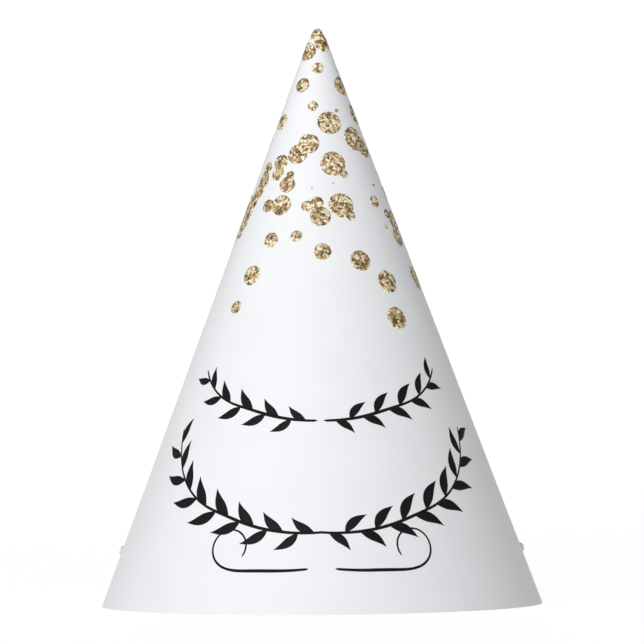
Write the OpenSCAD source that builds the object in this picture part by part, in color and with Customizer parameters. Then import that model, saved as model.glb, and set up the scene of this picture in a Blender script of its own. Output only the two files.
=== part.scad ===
// Cone party hat. One sheet of printed card is rolled into a cone and lapped down the back.
// Lock tabs on the outer layer go in through slits in the inner one and fold flat inside.
// A thin elastic chin cord passes through two punched holes, with a knot at each end.
//
// Millimetres, +Z up. The origin is the middle of the brim, on the surface that the hat
// stands on. The hat's front faces -Y and its seam runs down the back, at +Y.

/* [Cone] */
// Diameter across the brim, outside the card
brim_d = 136; // [125:0.1:150]
// Height from the brim to the trimmed tip
hat_h = 177.8; // [160:0.1:200]
// Diameter of the trimmed tip
tip_d = 3; // [2.4:0.1:5]
// Thickness of the card
card_t = 0.4; // [0.3:0.05:0.5]

/* [Seam] */
// Angle over which the two layers lap, seen from above
lap_a = 14; // [12:1:18]
// Air between the two layers
lap_gap = 0.15; // [0.1:0.05:0.25]
// Height of the tip that is rolled tight, with no free edge
tight_h = 10; // [8:1:16]

/* [Lock tabs] */
// How far up the slope the lower tab's middle is
lower_tab_s = 30; // [24:1:45]
// How far up the slope the upper tab's middle is
upper_tab_s = 105; // [70:1:120]
// Width of a tab where it goes through its slit
tab_neck_w = 12; // [8:0.5:14]
// Width of a tab across its ears
tab_head_w = 16; // [15:0.5:20]
// Length of a tab from its fold to its round end
tab_len = 9; // [6:0.5:10]
// Width of the slits
slit_w = 1; // [0.9:0.05:1.2]

/* [Elastic cord] */
// Diameter of the elastic cord
cord_d = 1; // [0.8:0.1:1.4]
// Diameter of the two punched holes
hole_d = 2; // [1.8:0.1:2.4]
// Height of the holes above the brim
hole_h = 16.5; // [10:0.5:25]
// Angle from the hat's front to each hole, seen from above
hole_a = 100; // [80:1:110]
// Width of a knot
knot_w = 3; // [2.6:0.1:4]

/* [Hidden] */

front_a = -90;
back_a = 90;

// The cone: its sides meet at apex_h, above the trimmed tip
apex_h = hat_h * brim_d / (brim_d - tip_d);
half_a = atan(brim_d / 2 / apex_h);

// The lap. The sheet's inner end stops a little before the outer layer steps over it
outer_edge_a = back_a - lap_a / 2;
inner_edge_a = back_a + lap_a / 2;
edge_gap_a = 2;
step_a = 2;
lap_top = hat_h - tight_h;
lap_out = lap_gap + card_t;

// The lock tabs, in depths below the outside of the card
tab_gap = 0.15;
tab_top = -card_t - tab_gap;
tab_mid = tab_top - card_t / 2;
fold_play = 0.05;
neck_lap = 0.1;
neck_shy = 0.8;
ear_r = 3;
slit_play = 0.5;
through = 3;

// The knots
knot_lift = 0.02;
turn_d = 1.15;

// The cord's route from hole to hole: inside each hole it drops to the ground, and
// between them it lies there in one loose S
cord_in = 4;
cord_route = concat(
    [for (out = [knot_lift, -cord_in / 2, -cord_in]) by_hole(-hole_a, out)],
    [
        [-55.5, 10, 13.5],
        [-54.5, 9.5, 11],
        [-54.5, 9.5, 7.5],
        [-54.5, 8.5, 3.5],
        [-55, 6, 1],
        [-55, 2, 0.5],
        [-53, -15, 0.5],
        [-46, -34, 0.5],
        [-32, -48, 0.5],
        [-13, -54, 0.5],
        [6, -50, 0.5],
        [18, -38, 0.5],
        [20, -21, 0.5],
        [12, -5, 0.5],
        [-3, 8, 0.5],
        [-15, 22, 0.5],
        [-17, 39, 0.5],
        [-6, 52, 0.5],
        [12, 57, 0.5],
        [30, 53, 0.5],
        [44, 41, 0.5],
        [52, 28, 0.5],
        [55, 18, 0.5],
        [55, 13.5, 1],
        [54.5, 10.5, 3.5],
        [54.5, 9.5, 7.5],
        [54.5, 9.5, 11],
        [55.5, 10, 13.5]
    ],
    [for (out = [-cord_in, -cord_in / 2, knot_lift]) by_hole(hole_a, out)]
);
cord_sides = 8;
ring_gap = 6;

// ---- Places on the cone ----

// Radius of the cone at height z, this far outside the card's outer surface
function cone_r(z, out = 0) = brim_d / 2 * (1 - z / apex_h) + out / cos(half_a);

// The point `out` along the axis of the hole that is `turn` degrees from the front
function by_hole(turn, out) =
    let (a = front_a + turn, r = cone_r(hole_h) + out * cos(half_a))
    [r * cos(a), r * sin(a), hole_h + out * sin(half_a)];

// Puts its children on the outside of the card, at azimuth a and height z, with
// +X down the slope, +Y along the card anticlockwise and +Z straight out of it
module on_card(a, z) {
    rotate([0, 0, a])
        translate([cone_r(z), 0, z])
        rotate([0, 90 - half_a, 0])
        children();
}

module on_hole(turn) {
    on_card(front_a + turn, hole_h) children();
}

module on_slit(up_slope) {
    on_card(outer_edge_a, up_slope * cos(half_a)) children();
}

// Part of the cone's wall between two azimuths, up to height `top`, from `low` to `high`
// millimetres outside the card's outer surface
module wall(a0, a1, top, low, high) {
    rotate([0, 0, a0])
        rotate_extrude(angle = a1 - a0, $fn = 180)
        polygon([
            [cone_r(0, low), 0],
            [cone_r(0, high), 0],
            [cone_r(top, high), top],
            [cone_r(top, low), top]
        ]);
}

// ---- The card ----

module card_cone() {
    color("whitesmoke") {
        difference() {
            wall(0, 360, hat_h, -card_t, 0);
            wall(inner_edge_a, inner_edge_a + edge_gap_a, lap_top, -through, through);
            for (s = [lower_tab_s, upper_tab_s])
                on_slit(s) slit();
            for (turn = [-hole_a, hole_a])
                on_hole(turn) cylinder(d = hole_d, h = 2 * through, center = true, $fn = 48);
        }
        wall(outer_edge_a, inner_edge_a + edge_gap_a + step_a, lap_top, lap_gap, lap_out);
        wall(
            inner_edge_a + edge_gap_a, inner_edge_a + edge_gap_a + step_a,
            lap_top, -card_t, lap_out
        );
        for (s = [lower_tab_s, upper_tab_s])
            on_slit(s) tab_neck();
    }
}

module slit() {
    cube([tab_neck_w + 2 * slit_play, slit_w, 2 * through], center = true);
}

// The neck bends in from the outer layer's free edge and ends just above the fold
module tab_neck() {
    fold_top = tab_mid + card_t / 2 + fold_play;
    translate([-tab_neck_w / 2, -card_t / 2, fold_top])
        cube([tab_neck_w, card_t, lap_out - fold_top]);
    translate([-tab_neck_w / 2, 0, lap_gap])
        cube([tab_neck_w, card_t / 2 + neck_lap, card_t]);
}

// ---- The lock tabs ----

// A leaf that follows the inside of the card, and the round back of its fold
module lock_tab(up_slope) {
    color("white") {
        intersection() {
            wall(outer_edge_a - 90, outer_edge_a + 20, lap_top, tab_top - card_t, tab_top);
            on_slit(up_slope)
                translate([0, 0, -2 * through])
                linear_extrude(3 * through)
                tab_outline();
        }
        on_slit(up_slope)
            translate([0, 0, tab_mid])
            rotate([0, 90, 0])
            cylinder(d = card_t, h = tab_neck_w - neck_shy, center = true, $fn = 32);
    }
}

// Seen from outside the cone: the fold lies along X, and the leaf reaches towards -Y
module tab_outline() {
    neck_w = tab_neck_w - neck_shy;
    ear_x = tab_head_w / 2 - ear_r;
    ear_y = -tab_len / 2;
    translate([-neck_w / 2, ear_y])
        square([neck_w, -ear_y]);
    for (x = [-ear_x, ear_x])
        translate([x, ear_y])
        circle(r = ear_r, $fn = 48);
    translate([-ear_x, ear_y - ear_r])
        square([2 * ear_x, 2 * ear_r]);
    translate([-ear_x, -tab_len])
        square([2 * ear_x, tab_len / 2]);
}

module lower_lock_tab() {
    lock_tab(lower_tab_s);
}

module upper_lock_tab() {
    lock_tab(upper_tab_s);
}

// ---- The elastic cord and its knots ----

// The route is one curve through its points, with its speed even along each stretch
function span(p, i) = norm(p[i + 1] - p[i]);

function heading(p, i) =
    i == 0 ? (p[1] - p[0]) / span(p, 0)
    : i == len(p) - 1 ? (p[i] - p[i - 1]) / span(p, i - 1)
    : let (before = span(p, i - 1), after = span(p, i))
      ((p[i + 1] - p[i]) * before / after + (p[i] - p[i - 1]) * after / before)
      / (before + after);

function along(p, i, t) =
    let (s = span(p, i))
    p[i] * (2 * pow(t, 3) - 3 * pow(t, 2) + 1)
    + heading(p, i) * s * (pow(t, 3) - 2 * pow(t, 2) + t)
    + p[i + 1] * (3 * pow(t, 2) - 2 * pow(t, 3))
    + heading(p, i + 1) * s * (pow(t, 3) - pow(t, 2));

// The cord can't sink into the ground
function grounded(p) = [p.x, p.y, max(p.z, cord_d / 2)];

function centreline(p) = concat(
    [
        for (i = [0 : len(p) - 2])
            let (steps = max(1, round(span(p, i) / ring_gap)))
            for (k = [0 : steps - 1])
                grounded(along(p, i, k / steps))
    ],
    [p[len(p) - 1]]
);

function unit(v) = v / norm(v);

function facing(c) = [
    for (i = [0 : len(c) - 1])
        unit(c[min(i + 1, len(c) - 1)] - c[max(i - 1, 0)])
];

// One sideways direction for each ring, carried along so that the tube doesn't twist
function sideways(dirs, i, last) =
    i == len(dirs) ? []
    : let (side = unit(last - dirs[i] * (last * dirs[i])))
      concat([side], sideways(dirs, i + 1, side));

function ring(centre, dir, side) = [
    for (k = [0 : cord_sides - 1])
        let (a = (k + 0.5) * 360 / cord_sides)
        centre + cord_d / 2 * (cos(a) * side + sin(a) * cross(dir, side))
];

module elastic_cord() {
    c = centreline(cord_route);
    dirs = facing(c);
    sides = sideways(dirs, 0, [0, 0, 1]);
    rings = len(c);
    points = [for (i = [0 : rings - 1]) each ring(c[i], dirs[i], sides[i])];
    quads = [
        for (i = [0 : rings - 2])
            for (k = [0 : cord_sides - 1])
                let (next = (k + 1) % cord_sides)
                [
                    i * cord_sides + k, (i + 1) * cord_sides + k,
                    (i + 1) * cord_sides + next, i * cord_sides + next
                ]
    ];
    start = [for (k = [0 : cord_sides - 1]) k];
    end = [for (k = [cord_sides - 1 : -1 : 0]) (rings - 1) * cord_sides + k];
    color("white") polyhedron(points, concat(quads, [start, end]));
}

// An overhand knot: a core, and the turn that the cord takes around it
module knot(turn) {
    core_h = 2 * turn_d;
    color("white")
        on_hole(turn)
        translate([0, 0, knot_lift]) {
            cylinder(d1 = 2 * turn_d, d2 = turn_d, h = core_h, $fn = 32);
            translate([0, 0, turn_d / 2])
                rotate_extrude($fn = 48)
                translate([(knot_w - turn_d) / 2, 0])
                circle(d = turn_d, $fn = 24);
        }
}

module left_knot() {
    knot(-hole_a);
}

module right_knot() {
    knot(hole_a);
}

card_cone();
lower_lock_tab();
upper_lock_tab();
elastic_cord();
left_knot();
right_knot();
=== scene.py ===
"""Cone party hat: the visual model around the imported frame, its light and its camera.

Everything is in metres in the frame's own axes: the hat stands on z = 0, its front faces -Y
and its seam runs down the back. The card is drawn as its flat blank and then rolled up, and
so are the gold dots and the ink laurel printed on it.
"""
import math
import random

import bpy
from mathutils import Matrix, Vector, geometry, noise


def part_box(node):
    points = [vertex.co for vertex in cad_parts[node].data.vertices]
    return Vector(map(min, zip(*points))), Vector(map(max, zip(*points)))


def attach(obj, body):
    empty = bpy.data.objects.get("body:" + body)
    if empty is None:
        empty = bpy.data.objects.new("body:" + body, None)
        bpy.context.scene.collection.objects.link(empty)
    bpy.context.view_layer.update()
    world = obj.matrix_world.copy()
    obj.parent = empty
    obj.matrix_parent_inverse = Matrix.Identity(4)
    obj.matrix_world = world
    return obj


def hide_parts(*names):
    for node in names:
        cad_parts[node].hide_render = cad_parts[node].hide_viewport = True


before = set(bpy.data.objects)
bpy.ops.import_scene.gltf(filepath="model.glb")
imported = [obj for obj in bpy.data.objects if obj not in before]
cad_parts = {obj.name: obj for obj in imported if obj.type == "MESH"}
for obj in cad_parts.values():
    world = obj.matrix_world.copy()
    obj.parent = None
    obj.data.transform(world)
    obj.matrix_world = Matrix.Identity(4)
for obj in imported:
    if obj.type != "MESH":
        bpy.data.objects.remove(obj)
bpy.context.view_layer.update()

MM = 0.001

# ---- The cone, as the frame has it ----

BRIM_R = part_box("card_cone")[1].x
HAT_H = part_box("card_cone")[1].z
TIP_R = 1.5 * MM
CARD_T = 0.4 * MM
APEX_H = HAT_H * BRIM_R / (BRIM_R - TIP_R)
HALF = math.atan(BRIM_R / APEX_H)
SIN, COS = math.sin(HALF), math.cos(HALF)
SLOPE = APEX_H / COS

# Turns are degrees from the front, seen from above, positive towards +X. The card's outer
# end is at -LAST_TURN and lies on its inner end, which is at +LAST_TURN.
LAST_TURN = 187
STEP_TURNS = (-171, -164)
LAP_OUT = 0.55 * MM
# Nearer the axis than this, the lap stands out less
LAP_FULL_R = 5 * MM
# The top of the card bends inwards over this height, by these shares of it
TIP_ROUND = 0.8 * MM
ROUND_OUTSIDE, ROUND_INSIDE = 0.8, 0.6

SLIT_TURN = 173
TAB_SLOPES = {"lower": 30 * MM, "upper": 105 * MM}
NECK_W = 12 * MM
SLIT_W = 1 * MM
SLIT_PLAY = 0.5 * MM
FOLD_BACK = 0.4 * MM
NECK_END = -0.5 * MM

HOLE_TURN = 100
HOLE_R = 1 * MM
HOLE_H = 16.5 * MM

CORD_R = 0.5 * MM


def eased(t):
    """0 to 1 with level ends, for t from 0 to 1."""
    t = min(1, max(0, t))
    return t * t * (3 - 2 * t)


def lift(turn, slope):
    """How far the lapped layer stands out from the cone at this place on the card."""
    first, last = STEP_TURNS
    room = min(1, slope * SIN / LAP_FULL_R)
    return LAP_OUT * room * (1 - eased((turn - first) / (last - first)))


def roll(turn, slope, out=0):
    """The place of a point of the rolled card.

    slope is its distance from the cone's virtual apex, and out its distance from the card's
    outside.
    """
    z = APEX_H - slope * COS
    r = slope * SIN + (out + lift(turn, slope)) / COS
    over = min(1, max(0, (z - HAT_H + TIP_ROUND) / TIP_ROUND))
    share = ROUND_OUTSIDE if out >= 0 else ROUND_INSIDE
    r -= TIP_ROUND * (1 - math.sqrt(1 - over * over)) * share
    a = math.radians(turn)
    return Vector((r * math.sin(a), -r * math.cos(a), z))


def out_of_card(turn, slope):
    """The outward direction of the card's surface there."""
    nudge = 0.2
    east = roll(turn + nudge, slope) - roll(turn - nudge, slope)
    north = roll(turn, slope - nudge * MM) - roll(turn, slope + nudge * MM)
    return east.cross(north).normalized()


def blank(turn, slope):
    """The same point on the flat blank. Its origin is the virtual apex, and +Y is up the front."""
    a = math.radians(turn) * SIN
    return Vector((slope * math.sin(a), -slope * math.cos(a)))


def sheet_place(p):
    """The turn and the slope of a point of the flat blank."""
    return math.degrees(math.atan2(p.x, -p.y)) / SIN, p.length


def rolled(p, out=0):
    """The place of a point of the flat blank once the card is rolled."""
    return roll(*sheet_place(p), out)


def art(x, y):
    """A point of the flat blank, in millimetres right of and up from the brim's front middle."""
    return Vector((x * MM, y * MM - SLOPE))


# ---- Making meshes ----


class Shape:
    """Collects vertices and faces for one mesh, with a material slot for each face."""

    def __init__(self):
        self.points, self.faces, self.slots = [], [], []

    def add(self, points, faces, slots=None):
        """Adds points and the faces on them. Without slots, the faces take the first material."""
        base = len(self.points)
        self.points += [Vector(p) for p in points]
        self.faces += [[base + i for i in f] for f in faces]
        self.slots += slots or [0] * len(faces)

    def piece(self, name, materials):
        """Makes the object, which rides on the cone."""
        mesh = bpy.data.meshes.new(name)
        mesh.from_pydata(self.points, [], self.faces)
        for m in materials:
            mesh.materials.append(m)
        mesh.polygons.foreach_set("material_index", self.slots)
        mesh.polygons.foreach_set("use_smooth", [True] * len(self.faces))
        mesh.update()
        obj = bpy.data.objects.new(name, mesh)
        bpy.context.scene.collection.objects.link(obj)
        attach(obj, "cone")
        return obj


def rims(faces):
    """The directed edges that only one face uses."""
    edges = {(f[i], f[(i + 1) % len(f)]) for f in faces for i in range(len(f))}
    return sorted(e for e in edges if (e[1], e[0]) not in edges)


def shell(outer, inner, faces):
    """Two layers of one net: all the points, the inner layer's faces and the walls between."""
    n = len(outer)
    under = [[n + i for i in reversed(f)] for f in faces]
    walls = [[b, a, n + a, n + b] for a, b in rims(faces)]
    return outer + inner, under, walls


def printed(shape, flat, faces, top):
    """Adds a thin closed patch of print, given on the flat blank, wrapped on the card."""
    sink = 0.02 * MM
    points, under, walls = shell(
        [rolled(p, top) for p in flat], [rolled(p, -sink) for p in flat], faces
    )
    shape.add(points, faces + under + walls)


def fractions(a, b, count):
    """count even steps from a, without b itself."""
    return [a + (b - a) * i / count for i in range(count)]


# ---- The route of the elastic, hole to hole ----

KNOT_LIFT = 0.02 * MM


def by_hole(turn, out):
    """The point `out` along the axis of the hole at that turn."""
    a = math.radians(turn)
    r = BRIM_R * (1 - HOLE_H / APEX_H) + out * COS
    return Vector((r * math.sin(a), -r * math.cos(a), HOLE_H + out * SIN))


LAID_MM = [
    (-55.5, 10, 13.5),
    (-54.5, 9.5, 11),
    (-54.5, 9.5, 7.5),
    (-54.5, 8.5, 3.5),
    (-55, 6, 1),
    (-55, 2, 0.5),
    (-53, -15, 0.5),
    (-46, -34, 0.5),
    (-32, -48, 0.5),
    (-13, -54, 0.5),
    (6, -50, 0.5),
    (18, -38, 0.5),
    (20, -21, 0.5),
    (12, -5, 0.5),
    (-3, 8, 0.5),
    (-15, 22, 0.5),
    (-17, 39, 0.5),
    (-6, 52, 0.5),
    (12, 57, 0.5),
    (30, 53, 0.5),
    (44, 41, 0.5),
    (52, 28, 0.5),
    (55, 18, 0.5),
    (55, 13.5, 1),
    (54.5, 10.5, 3.5),
    (54.5, 9.5, 7.5),
    (54.5, 9.5, 11),
    (55.5, 10, 13.5),
]
INTO_HOLE = [KNOT_LIFT, -2 * MM, -4 * MM]


def through(points, step):
    """One smooth curve through the points, with its speed even along each stretch."""
    last = len(points) - 1
    spans = [(b - a).length for a, b in zip(points, points[1:])]
    ways = [(b - a) / s for a, b, s in zip(points, points[1:], spans)]
    heads = [ways[0]]
    for i in range(1, last):
        before, after = spans[i - 1], spans[i]
        heads.append((ways[i] * before + ways[i - 1] * after) / (before + after))
    heads.append(ways[-1])
    curve = []
    for i in range(last):
        steps = max(1, round(spans[i] / step))
        for k in range(steps):
            t = k / steps
            curve.append(
                points[i] * (2 * t**3 - 3 * t**2 + 1)
                + heads[i] * spans[i] * (t**3 - 2 * t**2 + t)
                + points[i + 1] * (3 * t**2 - 2 * t**3)
                + heads[i + 1] * spans[i] * (t**3 - t**2)
            )
    return curve + [points[last].copy()]


def tube(shape, path, radius, sides, braid):
    """Adds a closed tube along the path, with a braid's crossing ridges and domed ends.

    braid is the ridges' height, the length in which a strand goes round once, and the number
    of strands each way.
    """
    ridge, lay_w, strands = braid
    mean_bump = 0.6
    dome = 0.4 * radius
    side = Vector((0, 0, 1))
    points, faces, gone = [], [], 0
    last = len(path) - 1
    for i, p in enumerate(path):
        way = (path[min(i + 1, last)] - path[max(i - 1, 0)]).normalized()
        side = (side - way * side.dot(way)).normalized()
        across = way.cross(side)
        if i:
            gone += (p - path[i - 1]).length
        swing = 2 * math.pi * gone / lay_w
        for k in range(sides):
            a = 2 * math.pi * k / sides
            bump = max(math.cos(strands * a + swing), math.cos(strands * a - swing))
            r = radius + ridge * (bump - mean_bump)
            points.append(p + side * (r * math.cos(a)) + across * (r * math.sin(a)))
    for i in range(last):
        for k in range(sides):
            a, b = i * sides + k, i * sides + (k + 1) % sides
            faces.append([a, b, b + sides, a + sides])
    for i, j in ((0, 1), (last, last - 1)):
        points.append(path[i] + (path[i] - path[j]).normalized() * dome)
        tip = len(points) - 1
        for k in range(sides):
            a, b = i * sides + k, i * sides + (k + 1) % sides
            faces.append([b, a, tip] if i == 0 else [a, b, tip])
    shape.add(points, faces)


# ---- Materials ----


class Finish:
    """A Principled material with a short way of adding nodes to it."""

    def __init__(self, name, **constants):
        self.material = bpy.data.materials.new(name)
        self.material.use_nodes = True
        self.nodes = self.material.node_tree.nodes
        self.bsdf = self.nodes["Principled BSDF"]
        self.place = self.node("ShaderNodeTexCoord").outputs["Object"]
        for socket, value in constants.items():
            self.bsdf.inputs[socket.replace("_", " ")].default_value = value

    def node(self, kind, inputs=None, **settings):
        """A new node. Each input is a number, a vector or another node's output."""
        n = self.nodes.new(kind)
        for key, value in settings.items():
            setattr(n, key, value)
        for key, value in (inputs or {}).items():
            self.feed(n.inputs[key], value)
        return n

    def feed(self, socket, value):
        if isinstance(value, bpy.types.NodeSocket):
            self.material.node_tree.links.new(value, socket)
        else:
            socket.default_value = value

    def noise(self, size, detail=3, roughness=0.5, stretch=None):
        """Noise whose grains are about `size` metres wide."""
        place = self.place
        if stretch:
            place = self.node("ShaderNodeMapping", {"Vector": place, "Scale": stretch}).outputs[0]
        n = self.node(
            "ShaderNodeTexNoise",
            {"Vector": place, "Scale": 1 / size, "Detail": detail, "Roughness": roughness},
        )
        return n.outputs["Fac"]

    def ramp(self, factor, stops):
        """A colour for each value of the factor, mixed evenly between the stops."""
        n = self.node("ShaderNodeValToRGB", {"Fac": factor})
        marks = n.color_ramp.elements
        while len(marks) < len(stops):
            marks.new(0.5)
        for mark, (at, colour) in zip(marks, stops):
            mark.position = at
            mark.color = (*colour, 1)
        return n.outputs["Color"]

    def between(self, factor, low, high, start, end):
        """A number from low to high as the factor goes from start to end."""
        n = self.node(
            "ShaderNodeMapRange",
            {"Value": factor, "From Min": start, "From Max": end, "To Min": low, "To Max": high},
        )
        return n.outputs["Result"]

    def sum(self, a, b, share):
        """a and b added in the shares 1 - share and share."""
        n = self.node("ShaderNodeMix", {"Factor": share, "A": a, "B": b}, data_type="FLOAT")
        return n.outputs["Result"]

    def colour(self, value):
        self.feed(self.bsdf.inputs["Base Color"], value)

    def rough(self, value):
        self.feed(self.bsdf.inputs["Roughness"], value)

    def bump(self, height, depth, strength):
        n = self.node(
            "ShaderNodeBump", {"Height": height, "Distance": depth, "Strength": strength}
        )
        self.feed(self.bsdf.inputs["Normal"], n.outputs["Normal"])


def coated_card():
    """White card with a satin print coating: faint clouds of tone, a fine tooth, a soft sheen."""
    f = Finish("coated_card", Specular_IOR_Level=0.15)
    clouds = f.noise(14 * MM, 4)
    tooth = f.noise(0.25 * MM, 4, 0.6)
    tone = f.sum(clouds, tooth, 0.35)
    f.colour(f.ramp(tone, [(0.3, (0.779, 0.791, 0.812)), (0.7, (0.806, 0.817, 0.836))]))
    f.rough(f.between(tone, 0.42, 0.55, 0.3, 0.7))
    f.bump(tooth, 0.006 * MM, 0.35)
    return f.material


def plain_card():
    """The uncoated inside: matte, a little warmer, with fibres that run along the card."""
    f = Finish("plain_card", Specular_IOR_Level=0.2)
    fibres = f.noise(0.5 * MM, 6, 0.65, stretch=(1, 1, 0.25))
    clouds = f.noise(6 * MM, 3)
    tone = f.sum(fibres, clouds, 0.4)
    f.colour(f.ramp(tone, [(0.32, (0.66, 0.655, 0.64)), (0.68, (0.76, 0.757, 0.745))]))
    f.rough(f.between(fibres, 0.78, 0.95, 0.3, 0.7))
    f.bump(fibres, 0.03 * MM, 0.6)
    return f.material


def cut_edge():
    """The card's cut edge, where its layers of fibre show."""
    f = Finish("cut_edge", Specular_IOR_Level=0.15)
    fibres = f.noise(0.12 * MM, 5, 0.7)
    f.colour(f.ramp(fibres, [(0.3, (0.56, 0.555, 0.545)), (0.7, (0.76, 0.758, 0.752))]))
    f.rough(f.between(fibres, 0.85, 1.0, 0.3, 0.7))
    f.bump(fibres, 0.04 * MM, 0.7)
    return f.material


def black_ink():
    """Solid black print, a touch uneven where the ink is thin."""
    f = Finish("black_ink", Specular_IOR_Level=0.09)
    thin = f.noise(0.35 * MM, 5, 0.6)
    f.colour(f.ramp(thin, [(0.3, (0.0075, 0.0068, 0.0083)), (0.75, (0.0145, 0.0134, 0.0157))]))
    f.rough(f.between(thin, 0.40, 0.58, 0.3, 0.7))
    f.bump(thin, 0.004 * MM, 0.4)
    return f.material


def gold_glitter():
    """Glitter print: flakes under a millimetre wide, from cream glints to dark bronze."""
    f = Finish("gold_glitter", Specular_IOR_Level=0.4)
    # The flakes' edges wander by up to this much, so that they aren't straight
    wander = 0.8 * MM
    drift = f.node("ShaderNodeTexNoise", {"Vector": f.place, "Scale": 900.0, "Detail": 2.0})
    shift = f.node(
        "ShaderNodeVectorMath",
        {0: drift.outputs["Color"], 1: (wander, wander, wander)},
        operation="MULTIPLY",
    )
    bent = f.node(
        "ShaderNodeVectorMath", {0: f.place, 1: shift.outputs["Vector"]}, operation="ADD"
    )
    tones = []
    for size in (0.85 * MM, 0.45 * MM):
        flakes = f.node(
            "ShaderNodeTexVoronoi", {"Vector": bent.outputs["Vector"], "Scale": 1 / size}
        )
        apart = f.node("ShaderNodeSeparateColor", {"Color": flakes.outputs["Color"]})
        tones.append(apart.outputs["Red"])
    tone = f.sum(tones[0], tones[1], 0.42)
    tone = f.sum(tone, f.noise(2.6 * MM, 2, 0.5), 0.2)
    gold = f.ramp(
        tone,
        [
            (0.26, (0.100, 0.063, 0.028)),
            (0.39, (0.245, 0.162, 0.072)),
            (0.50, (0.435, 0.305, 0.142)),
            (0.60, (0.640, 0.505, 0.290)),
            (0.72, (0.900, 0.825, 0.620)),
        ],
    )
    f.colour(gold)
    f.rough(f.between(tone, 0.5, 0.28, 0.2, 0.8))
    f.bump(tone, 0.03 * MM, 0.5)
    return f.material


def elastic_yarn():
    """White braided elastic: fine threads over a soft stretch core, coloured grey as painted shade.
    """
    f = Finish("elastic_yarn", Specular_IOR_Level=0.25, Sheen_Weight=0.3)
    threads = f.noise(0.09 * MM, 4, 0.7)
    # Greys darker than white elastic: painted shade, so the knots and the cord look as shaded as
    # the card round them
    f.colour(f.ramp(threads, [(0.3, (0.58, 0.58, 0.575)), (0.7, (0.73, 0.73, 0.725))]))
    f.rough(f.between(threads, 0.65, 0.9, 0.3, 0.7))
    f.bump(threads, 0.03 * MM, 0.8)
    return f.material


COATED, PLAIN, CUT = coated_card(), plain_card(), cut_edge()
INK, GOLD, ELASTIC = black_ink(), gold_glitter(), elastic_yarn()

# ---- The camera, straight on at half the hat's height ----

CAMERA_AWAY = 1.86
CAMERA_ASIDE = 0.7 * MM
CAMERA_DIP = 0.053
CAMERA_ROLL = 0.5
SENSOR_W = 36
LENS = 336.6

camera_data = bpy.data.cameras.new("camera")
camera_data.sensor_width = SENSOR_W
camera_data.lens = LENS
camera_data.clip_start = 0.05
camera = bpy.data.objects.new("camera", camera_data)
camera.location = (CAMERA_ASIDE, -CAMERA_AWAY, HAT_H / 2)
camera.rotation_euler = (math.radians(90 - CAMERA_DIP), math.radians(CAMERA_ROLL), 0)
bpy.context.scene.collection.objects.link(camera)
bpy.context.scene.camera = camera

# ---- The elastic cord and its two knots ----

route = [by_hole(-HOLE_TURN, out) for out in INTO_HOLE]
route += [Vector(p) * MM for p in LAID_MM]
route += [by_hole(HOLE_TURN, out) for out in reversed(INTO_HOLE)]
cord_path = through(route, 0.3 * MM)
for p in cord_path:
    p.z = max(p.z, CORD_R)

# Each braid's ridge height, the length of one turn of a strand, and the strands each way
CORD_BRAID = (0.035 * MM, 1.3 * MM, 4)
KNOT_BRAID = (0.03 * MM, 1.1 * MM, 4)
CORD_SIDES, KNOT_SIDES = 24, 16

cord_shape = Shape()
tube(cord_shape, cord_path, CORD_R, CORD_SIDES, CORD_BRAID)
cord = cord_shape.piece("elastic_braid", [ELASTIC])
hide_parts("elastic_cord")

KNOT_CORD_R = 0.46 * MM
# The knot's path goes round the hole's axis at KNOT_R, KNOT_H out from the card, and swings
# and weaves that far about both. It starts and turns by so many degrees a step.
KNOT_R, KNOT_SWING = 0.72 * MM, 0.4 * MM
KNOT_H, KNOT_WEAVE = 0.9 * MM, 0.5 * MM
KNOT_START, KNOT_STEP, KNOT_STEPS = -20, 12.6, 46
# The heights over the card of the path's first two points, and the length of each of the
# short end's three steps, in millimetres. DIP is how far that end leans towards the card.
KNOT_STEM = (-0.2, 0.15)
KNOT_END = 0.3
DIP = 0.2


def knot(turn, name):
    """An overhand knot tied in the cord outside the card, its short end dipping towards it."""
    a = math.radians(turn)
    away = Vector((math.sin(a) * COS, -math.cos(a) * COS, SIN))
    along = Vector((math.cos(a), math.sin(a), 0))
    up = away.cross(along)
    base = by_hole(turn, KNOT_LIFT)
    points = [base + away * (h * MM) for h in KNOT_STEM]
    for i in range(KNOT_STEPS):
        t = math.radians(KNOT_START + KNOT_STEP * i)
        r = KNOT_R + KNOT_SWING * math.cos(1.5 * t)
        h = KNOT_H + KNOT_WEAVE * math.sin(1.5 * t)
        points.append(base + along * (r * math.cos(t)) + up * (r * math.sin(t)) + away * h)
    end = points[-1]
    way = (points[-1] - points[-2]).normalized()
    points += [end + (way - away * DIP) * (k * KNOT_END * MM) for k in (1, 2, 3)]
    shape = Shape()
    tube(shape, through(points[::2], 0.12 * MM), KNOT_CORD_R, KNOT_SIDES, KNOT_BRAID)
    obj = shape.piece(name + "_tied", [ELASTIC])
    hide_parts(name)
    return obj


knots = [knot(-HOLE_TURN, "left_knot"), knot(HOLE_TURN, "right_knot")]

# ---- The card ----

CARD_GAP = 3.2 * MM
# The slope at which the rows of points inside the card begin, and how near, in gaps, a point
# may be to an edge
FIRST_ROW = 4.3 * MM
EDGE_ROOM = 0.3
# Degrees between the outline's points
BRIM_STEP, TIP_STEP = 1.5, 15
# The card's material slots
OUTSIDE, INSIDE, EDGE = 0, 1, 2


def slit(slope):
    """A slot with round ends, along the slope."""
    steps = 8
    middle = blank(SLIT_TURN, slope)
    along = middle.normalized()
    across = Vector((-along.y, along.x))
    half = NECK_W / 2 + SLIT_PLAY - SLIT_W / 2
    points = []
    for end in (1, -1):
        for k in range(steps + 1):
            a = math.radians(90 - 180 * k / steps)
            out = along * (half + SLIT_W / 2 * math.cos(a)) + across * (SLIT_W / 2 * math.sin(a))
            points.append(middle + out * end)
    return points[::-1]


def punched(turn):
    """A round hole near the brim."""
    count = 40
    centre = blank(turn, (APEX_H - HOLE_H) / COS)
    angles = [2 * math.pi * i / count for i in range(count)]
    return [centre + Vector((math.cos(a), math.sin(a))) * HOLE_R for a in angles]


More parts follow.
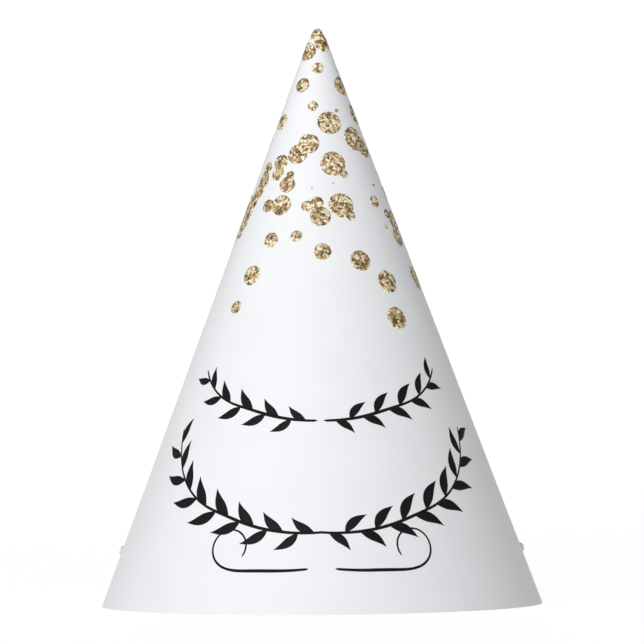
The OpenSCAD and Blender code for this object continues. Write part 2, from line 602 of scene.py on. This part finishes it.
def outer_end(tip):
    """The card's outer end, from tip to brim, cut back where the tabs bend in."""
    points = []
    start = tip
    for slope in sorted(SLOPE - s for s in TAB_SLOPES.values()):
        top, bottom = slope - NECK_W / 2, slope + NECK_W / 2
        points += [blank(-LAST_TURN, s) for s in fractions(start, top, 20)]
        cut = [blank(-LAST_TURN, s) for s in (top, *fractions(top, bottom, 6), bottom)]
        side = Vector((-cut[0].y, cut[0].x)).normalized() * FOLD_BACK
        points += [cut[0]] + [p + side for p in cut] + [cut[-1]]
        start = bottom
    return points + [blank(-LAST_TURN, s) for s in fractions(start, SLOPE, 12)]


def card_outline():
    """The blank's outline: the brim, the inner end, the tip and the outer end."""
    tip = (APEX_H - HAT_H) / COS
    across = 2 * LAST_TURN
    points = [blank(t * BRIM_STEP - LAST_TURN, SLOPE) for t in range(round(across / BRIM_STEP))]
    points += [blank(LAST_TURN, s) for s in fractions(SLOPE, tip, 60)]
    points += [blank(LAST_TURN - t * TIP_STEP, tip) for t in range(round(across / TIP_STEP))]
    kept = []
    for p in points + outer_end(tip):
        if not kept or (p - kept[-1]).length > 0.02 * MM:
            kept.append(p)
    return kept


def card_net():
    """The blank's points and triangles, with its outline, slits and holes as edges."""
    loops = [card_outline()]
    loops += [slit(SLOPE - s) for s in TAB_SLOPES.values()]
    loops += [punched(turn) for turn in (-HOLE_TURN, HOLE_TURN)]
    points, faces = [], []
    for loop in loops:
        faces.append([len(points) + i for i in range(len(loop))])
        points += loop
    rim = list(points)
    rows = round((SLOPE - FIRST_ROW) / CARD_GAP)
    for row in range(1, rows):
        slope = FIRST_ROW + (SLOPE - FIRST_ROW) * row / rows
        arc = math.radians(2 * LAST_TURN) * SIN * slope
        count = max(24, round(arc / CARD_GAP))
        for i in range(1, count):
            p = blank(-LAST_TURN + 2 * LAST_TURN * (i + 0.5 * (row % 2)) / count, slope)
            near = min((p - q).length_squared for q in rim)
            if near > (EDGE_ROOM * CARD_GAP) ** 2:
                points.append(p)
    flat, _, tris, _, _, inside = geometry.delaunay_2d_cdt(points, [], faces, 0, 1e-7)
    # The first loop is the outline, so a triangle that is in no other isn't in an opening
    return flat, [t for t, own in zip(tris, inside) if own == [0]]


def card():
    """The rolled sheet as one closed shell, with the necks of its two tabs."""
    flat, tris = card_net()
    inner = [rolled(p, -CARD_T) for p in flat]
    for p in inner:
        p.z = max(p.z, 0)
    points, under, walls = shell([rolled(p) for p in flat], inner, tris)
    shape = Shape()
    slots = [OUTSIDE] * len(tris) + [INSIDE] * len(under) + [EDGE] * len(walls)
    shape.add(points, tris + under + walls, slots)
    ways = [out_of_card(*sheet_place(p)) for p in flat]
    normals = [ways[i] for t in tris for i in t]
    normals += [-ways[i] for t in tris for i in reversed(t)]
    for f in walls:
        normals += [face_way(points, f)] * 4
    for up in TAB_SLOPES.values():
        normals += neck(shape, up)
    obj = shape.piece("rolled_card", [COATED, PLAIN, CUT])
    obj.data.normals_split_custom_set(normals)
    return obj


def face_way(points, f):
    """The direction that a flat face looks in."""
    a, b, c = (points[i] for i in f[:3])
    return (b - a).cross(c - b).normalized()


def neck(shape, up):
    """Adds a tab's neck, which bends in from the outer end through its slit.

    up is its distance from the brim along the slope. Returns its corner normals.
    """
    steps = 8
    a = math.radians(SLIT_TURN)
    z = up * COS
    r = BRIM_R * (1 - z / APEX_H)
    radial = Vector((math.sin(a), -math.cos(a), 0))
    away = radial * COS + Vector((0, 0, SIN))
    down = radial * SIN - Vector((0, 0, COS))
    round_by = away.cross(down)
    origin = radial * r + Vector((0, 0, z))
    mid = LAP_OUT - CARD_T / 2
    # The card's middle line and its outward direction, seen along the slope
    profile = []
    for k in range(steps + 1):
        t = math.radians(90 * k / steps)
        centre = (FOLD_BACK * (1 - math.sin(t)), mid - FOLD_BACK * (1 - math.cos(t)))
        profile.append((centre, (-math.sin(t), math.cos(t))))
    profile.append(((0, NECK_END), (-1, 0)))
    points = []
    for (y, h), (ny, nh) in profile:
        for side in (1, -1):
            for x in (-NECK_W / 2, NECK_W / 2):
                d = side * CARD_T / 2
                points.append(
                    origin + down * x + round_by * (y + ny * d) + away * (h + nh * d)
                )
    faces, slots = [], []
    for i in range(len(profile) - 1):
        b = 4 * i
        faces += [[b, b + 4, b + 5, b + 1], [b + 2, b + 3, b + 7, b + 6]]
        faces += [[b, b + 2, b + 6, b + 4], [b + 1, b + 5, b + 7, b + 3]]
        slots += [OUTSIDE, INSIDE, EDGE, EDGE]
    e = 4 * (len(profile) - 1)
    faces += [[0, 1, 3, 2], [e, e + 2, e + 3, e + 1]]
    slots += [EDGE, EDGE]
    shape.add(points, faces, slots)
    normals = []
    for f, slot in zip(faces, slots):
        flat_way = face_way(points, f)
        for i in f:
            ny, nh = profile[i // 4][1]
            way = round_by * ny + away * nh
            normals.append({OUTSIDE: way, INSIDE: -way, EDGE: flat_way}[slot])
    return normals


hat = card()
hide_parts("card_cone")
for name in ("lower_lock_tab", "upper_lock_tab"):
    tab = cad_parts[name]
    tab.data.materials.clear()
    tab.data.materials.append(PLAIN)

# ---- The gold dots ----

# x and y on the blank and the dot's width, in millimetres
FRONT_DOTS = [
    (0.2, 187.2, 4.4), (1.9, 184.8, 5), (-3.5, 182.6, 5.7), (0, 176.5, 3.4), (-5, 171.5, 4.5),
    (8.6, 172.3, 5.8), (-1.5, 164, 3), (6, 163, 1.2), (3.5, 158.5, 7), (15.2, 165, 6.2),
    (12.5, 155, 7.5), (-13.5, 161.5, 5), (-3, 151.5, 6.2), (-6.5, 148.5, 6),
    (-12.5, 147, 5), (-13.5, 143.5, 4.3), (4.5, 145, 7.5), (8, 142, 2.5),
    (-9, 142, 2.5), (-10, 139, 5), (4.5, 138.5, 0.6), (-2, 137, 0.5), (-12, 132.5, 6.2),
    (-17, 133.5, 4), (-3.5, 131, 3.4), (-0.5, 132, 3.7), (0.5, 127.5, 6), (7, 131.5, 7.5),
    (10, 128.5, 3), (19.5, 135.5, 3.7), (20, 141.5, 0.8), (29.5, 143.5, 4.4), (25.5, 133.5, 3),
    (24, 128.5, 1.5), (30, 133, 6.4), (31, 127.5, 6), (-15.5, 121.5, 4.6),
    (-7, 121.5, 3.4), (1, 116, 5), (13, 114, 6.2), (-22.5, 111.5, 6), (22.5, 109, 6.8),
    (39.5, 117, 7.6), (-28.5, 102.5, 4), (25.5, 97.5, 6.8), (17, 153.5, 6), (-18.5, 147, 4),
    (-20, 143.5, 5), (-22.5, 140.5, 5.4), (-25, 138, 5), (-27.5, 135.5, 5.6), (-30, 132.5, 5.4),
    (-32, 130.5, 4.6), (-31, 140, 6.5), (-34.5, 136, 4.5), (-36.5, 131.5, 6),
]
# Glitter spreads a little past a dot's nominal width
SPREAD = 1.06
# A dot's net has rings this far apart and sides this long, and no fewer than these
RING_W, SIDE_W = 0.55 * MM, 0.45 * MM
MIN_RINGS, MIN_SIDES = 2, 14
# How far its edge wanders at most, also as a share of its radius, how many times a
# millimetre, and how far apart in the noise two dots are
RAGGED, RAGGED_SHARE = 0.22 * MM, 0.2
RAGGED_GRAIN, RAGGED_SHIFT = 1.1, 7.3
# The thinnest dot and the rise from one thickness to the next, in millimetres
DOT_T, DOT_T_RISE = 0.03, 0.004

SCATTER_SEED = 41
SCATTER_TRIES = 2600
# The index of the scatter's first try. A dot's index sets its ragged edge and its thickness.
SCATTER_INDEX = 50
SCATTER_WIDTHS = [1, 2.5, 3.4, 4, 4.6, 5, 6, 6.2, 6.8, 7.4]
# The scatter starts past this turn, where the listed dots end
FRONT_TURN = 87
# Millimetres up from the brim: the scatter's band, where its dots thin out, and where the
# room between them shrinks from the first number to the second
SCATTER_UP = (92, 189)
THIN_UP = (86, 132)
SHRINK_UP = (95, 155)
ROOM = (5.5, 1.5)
JOINED_SHARE = 0.3
JOINED_GAP = (-0.9 * MM, -0.2 * MM)
TIP_ROOM = 4.6 * MM


def dot(shape, centre, width, index):
    """Adds a round of glitter with a slightly ragged edge."""
    radius = SPREAD * width / 2
    rings = max(MIN_RINGS, math.ceil(radius / RING_W))
    sides = max(MIN_SIDES, round(2 * math.pi * radius / SIDE_W))
    flat = [centre.copy()]
    for ring in range(1, rings + 1):
        for k in range(sides):
            a = 2 * math.pi * k / sides
            way = Vector((math.cos(a), math.sin(a)))
            r = radius * ring / rings
            if ring == rings:
                spot = way.to_3d() * (radius / MM) * RAGGED_GRAIN
                spot += Vector((0, 0, RAGGED_SHIFT * index))
                r += min(RAGGED, RAGGED_SHARE * radius) * noise.noise(spot)
            flat.append(centre + way * r)
    faces = []
    for k in range(sides):
        faces.append([0, 1 + k, 1 + (k + 1) % sides])
        for ring in range(1, rings):
            a = 1 + (ring - 1) * sides + k
            b = 1 + (ring - 1) * sides + (k + 1) % sides
            faces.append([a, a + sides, b + sides, b])
    # Neighbours differ in thickness, so that joined dots don't lie in one plane
    printed(shape, flat, faces, (DOT_T + DOT_T_RISE * (index % 5)) * MM)


def clear_of_ends(turn, slope, radius):
    """True if a dot there doesn't cross the card's ends, its step, its tip or a slit."""
    reach = math.degrees(radius / (slope * SIN)) + 1
    middle = blank(turn, slope)
    for up in TAB_SLOPES.values():
        if (middle - blank(SLIT_TURN, SLOPE - up)).length < radius + NECK_W / 2 + SLIT_PLAY:
            return False
    if STEP_TURNS[0] - 1 < turn + reach and turn - reach < STEP_TURNS[1] + 1:
        return False
    return abs(turn) < LAST_TURN - reach and slope - radius > TIP_ROOM


def progress(t, span):
    """0 to 1 with level ends, as t goes from the span's first number to its second."""
    return eased((t - span[0]) / (span[1] - span[0]))


def scatter():
    """The turn, place, width and index of each dot at the sides and back, fewer lower down."""
    placed = []
    draw = random.Random(SCATTER_SEED)
    for i in range(SCATTER_TRIES):
        turn = draw.uniform(-LAST_TURN, LAST_TURN)
        up = draw.uniform(*SCATTER_UP)
        width = draw.choice(SCATTER_WIDTHS)
        slope = SLOPE - up * MM
        spot = blank(turn, slope)
        radius = width * MM / 2
        joins = draw.random() < JOINED_SHARE
        shown = draw.random() < progress(up, THIN_UP)
        if abs(turn) < FRONT_TURN + math.degrees(radius / (slope * SIN)) or not shown:
            continue
        if not clear_of_ends(turn, slope, radius):
            continue
        gaps = [(spot - other).length - radius - reach for other, reach in placed]
        gap = min(gaps, default=1.0)
        room = (ROOM[0] - (ROOM[0] - ROOM[1]) * progress(up, SHRINK_UP)) * MM
        touches = JOINED_GAP[0] < gap < JOINED_GAP[1] and sum(g < room for g in gaps) == 1
        if gap > room or (joins and touches):
            placed.append((spot, radius))
            yield turn, spot, width * MM, SCATTER_INDEX + i


def gold_dots():
    """The dots of the front, of the left and of the right, a piece each."""
    shapes = {side: Shape() for side in ("front", "left", "right")}
    for i, (x, y, width) in enumerate(FRONT_DOTS):
        dot(shapes["front"], art(x, y), width * MM, i)
    for turn, spot, width, index in scatter():
        dot(shapes["right" if turn > 0 else "left"], spot, width, index)
    return [shape.piece(f"gold_dots_{side}", [GOLD]) for side, shape in shapes.items()]


for piece in gold_dots():
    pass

# ---- The ink: a laurel, its stems mirrored about the front's middle ----

# Millimetres, degrees or shares. HAIR is the pen's width away from its swell and its ends.
HAIR = 0.57
PEN_STEP = 0.5
PEN_FADE, PEN_END = 1.5 * MM, 0.3
RIBBON_COLUMN = 0.7
INK_T, INK_T_RISE = 0.016, 0.003
# The angle between a leaf and its stem
LEAF_SLANT = 38
LEAF_STEPS = 24
LEAF_BEND = 0.09
LEAF_TIP_W = 0.12
# How much wider the pen swells, how far along, and over what reach
STEM_PEN = (0.45, 0.3, 0.3)
TENDRIL_PEN = (0.5, 0.25, 0.25)
# The share by which a leaf at the very end of a stem would be smaller than one half way
END_SHRINK = 0.25


def pen(x, y, angle, end):
    """The points of one end of a stem. end is its (radius, ease, length)."""
    radius, ease, length = end
    s, out = 0.0, []
    a = math.radians(angle)
    while s < length:
        a += PEN_STEP / radius * (1 - math.exp(-((s / ease) ** 2)))
        x += PEN_STEP * math.cos(a)
        y += PEN_STEP * math.sin(a)
        s += PEN_STEP
        out.append(art(x, y))
    return out


def stem(x, y, heading, back, on):
    """A pen curve through (x, y) in millimetres.

    back and on are the (radius, ease, length) of its two ends: each runs straight for about
    ease, then bends to that radius, to its own left if positive.
    """
    start = pen(x, y, heading + 180, back)
    return start[::-1] + [art(x, y)] + pen(x, y, heading, on)


def mirrored(path):
    """The same curve on the other side of the front's middle."""
    return [Vector((-p.x, p.y)) for p in path]


# The right-hand stems, each with its number of leaves, and their length and width in millimetres
SPRAYS = [
    (stem(30, 34, 30, (-45, 5, 33), (32, 5, 42)), 15, 11, 3.4),
    (stem(22, 67, 25, (-40, 5, 22), (26, 5, 26)), 10, 9, 2.8),
]
# The right-hand tendril, which ends in a curl
TENDRIL = stem(20, 15, 6, (-60, 5, 16), (5.5, 12, 40))


def ribbon(shape, path, widths, index):
    """Adds a stroke of ink along the path, as wide as widths says at each point, in millimetres."""
    columns = max(2, math.ceil(max(widths) / RIBBON_COLUMN))
    flat = []
    last = len(path) - 1
    for i, (p, w) in enumerate(zip(path, widths)):
        way = (path[min(i + 1, last)] - path[max(i - 1, 0)]).normalized()
        across = Vector((-way.y, way.x)) * (w * MM)
        flat += [p + across * (k / columns - 0.5) for k in range(columns + 1)]
    row = columns + 1
    faces = [
        [i * row + k + 1, i * row + k, (i + 1) * row + k, (i + 1) * row + k + 1]
        for i in range(last)
        for k in range(columns)
    ]
    # The thickness has four steps, so that most strokes that meet don't lie in one plane
    printed(shape, flat, faces, (INK_T + INK_T_RISE * (index % 4)) * MM)


def pen_widths(path, swell, at, reach):
    """The pen's width along the path: a hairline with one swell and drawn-out ends."""
    gone = [0]
    for a, b in zip(path, path[1:]):
        gone.append(gone[-1] + (b - a).length)
    whole = gone[-1]
    widths = []
    for s in gone:
        fade = eased(min(s, whole - s) / PEN_FADE + PEN_END)
        widths.append((HAIR + swell * math.exp(-(((s / whole - at) / reach) ** 2))) * fade)
    return widths


def leaf(shape, foot, slant, length, width, index):
    """Adds a pointed leaf, a little bent to its left. Its length and width are in millimetres."""
    a = math.radians(slant)
    way = Vector((math.cos(a), math.sin(a)))
    side = Vector((-way.y, way.x))
    path, widths = [], []
    for i in range(LEAF_STEPS + 1):
        t = i / LEAF_STEPS
        bend = LEAF_BEND * length * math.sin(math.pi * t)
        path.append(foot + (way * (length * t) + side * bend) * MM)
        widths.append(LEAF_TIP_W + width * math.sin(math.pi * t**0.8) ** 1.2)
    ribbon(shape, path, widths, index)


def spray(shape, path, count, length, width, index):
    """Adds a stem with leaves on alternate sides, the longest of them half way along."""
    ribbon(shape, path, pen_widths(path, *STEM_PEN), index)
    for k in range(count):
        t = (k + 0.8) / (count + 0.9)
        at = int(t * len(path))
        way = path[at + 1] - path[at]
        turn = LEAF_SLANT if k % 2 else -LEAF_SLANT
        size = 1 - END_SHRINK * abs(2 * t - 1)
        slant = math.degrees(math.atan2(way.y, way.x)) + turn
        leaf(shape, path[at], slant, length * size, width * size, k)


def laurel():
    """All the ink as one piece: the right-hand half and then the left."""
    shape = Shape()
    for side in (list, mirrored):
        for i, (path, count, length, width) in enumerate(SPRAYS):
            spray(shape, side(path), count, length, width, i + 2)
        ribbon(shape, side(TENDRIL), pen_widths(TENDRIL, *TENDRIL_PEN), 1)
    return shape.piece("ink_laurel", [INK])


laurel()

# ---- The floor, the light and the world ----

FLOOR_R = 1.3
FLOOR_SIDES = 96
FLOOR_GLOW = 0.93
FLOOR_Z = -0.05 * MM
WORLD_LOW, WORLD_HIGH = 1.08, 0.05
# The world darkens between these heights of its own sphere
WORLD_FADE = (0.08, 0.24)


def floor_finish():
    """A pale floor that is almost as bright as the background by itself, so shadows stay faint."""
    f = Finish("floor", Specular_IOR_Level=0.0, Roughness=1.0)
    f.bsdf.inputs["Emission Color"].default_value = (1, 1, 1, 1)
    f.bsdf.inputs["Emission Strength"].default_value = FLOOR_GLOW
    grain = f.noise(0.02, 2)
    f.colour(f.ramp(grain, [(0.3, (0.145, 0.147, 0.15)), (0.7, (0.155, 0.156, 0.157))]))
    return f.material


turns = [2 * math.pi * i / FLOOR_SIDES for i in range(FLOOR_SIDES)]
floor_rim = [(FLOOR_R * math.cos(a), FLOOR_R * math.sin(a), 0) for a in turns]
floor_mesh = bpy.data.meshes.new("floor")
floor_mesh.from_pydata(floor_rim, [], [list(range(FLOOR_SIDES))])
floor_mesh.materials.append(floor_finish())
floor = bpy.data.objects.new("floor", floor_mesh)
floor.location.z = FLOOR_Z
bpy.context.scene.collection.objects.link(floor)


def softbox(name, turn, away, height, size, power):
    """A square area light facing the hat from that turn."""
    data = bpy.data.lights.new(name, "AREA")
    data.shape = "SQUARE"
    data.size = size
    data.energy = power
    obj = bpy.data.objects.new(name, data)
    a = math.radians(turn)
    obj.location = (away * math.sin(a), -away * math.cos(a), height)
    aim = Vector((0, 0, HAT_H / 2)) - obj.location
    obj.rotation_euler = aim.to_track_quat("-Z", "Y").to_euler()
    bpy.context.scene.collection.objects.link(obj)


softbox("key", -22, 2.2, 0.75, 2.4, 51.6)
softbox("left", -80, 2.4, 0.5, 1.2, 4.4)
softbox("right", 45, 2.4, 0.5, 1.2, 2.1)
softbox("back", 180, 2.4, 0.9, 1.0, 22)


def studio():
    """A world that is white round the horizon and below it, and dark overhead."""
    world = bpy.data.worlds.new("studio")
    world.use_nodes = True
    nodes, links = world.node_tree.nodes, world.node_tree.links
    place = nodes.new("ShaderNodeTexCoord")
    axes = nodes.new("ShaderNodeSeparateXYZ")
    glow = nodes.new("ShaderNodeMapRange")
    glow.interpolation_type = "SMOOTHSTEP"
    glow.inputs["From Min"].default_value, glow.inputs["From Max"].default_value = WORLD_FADE
    glow.inputs["To Min"].default_value = WORLD_LOW
    glow.inputs["To Max"].default_value = WORLD_HIGH
    links.new(place.outputs["Generated"], axes.inputs[0])
    links.new(axes.outputs["Z"], glow.inputs["Value"])
    links.new(glow.outputs["Result"], nodes["Background"].inputs["Strength"])
    nodes["Background"].inputs["Color"].default_value = (1, 1, 1, 1)
    return world


bpy.context.scene.world = studio()
bpy.context.scene.view_settings.view_transform = "Standard"
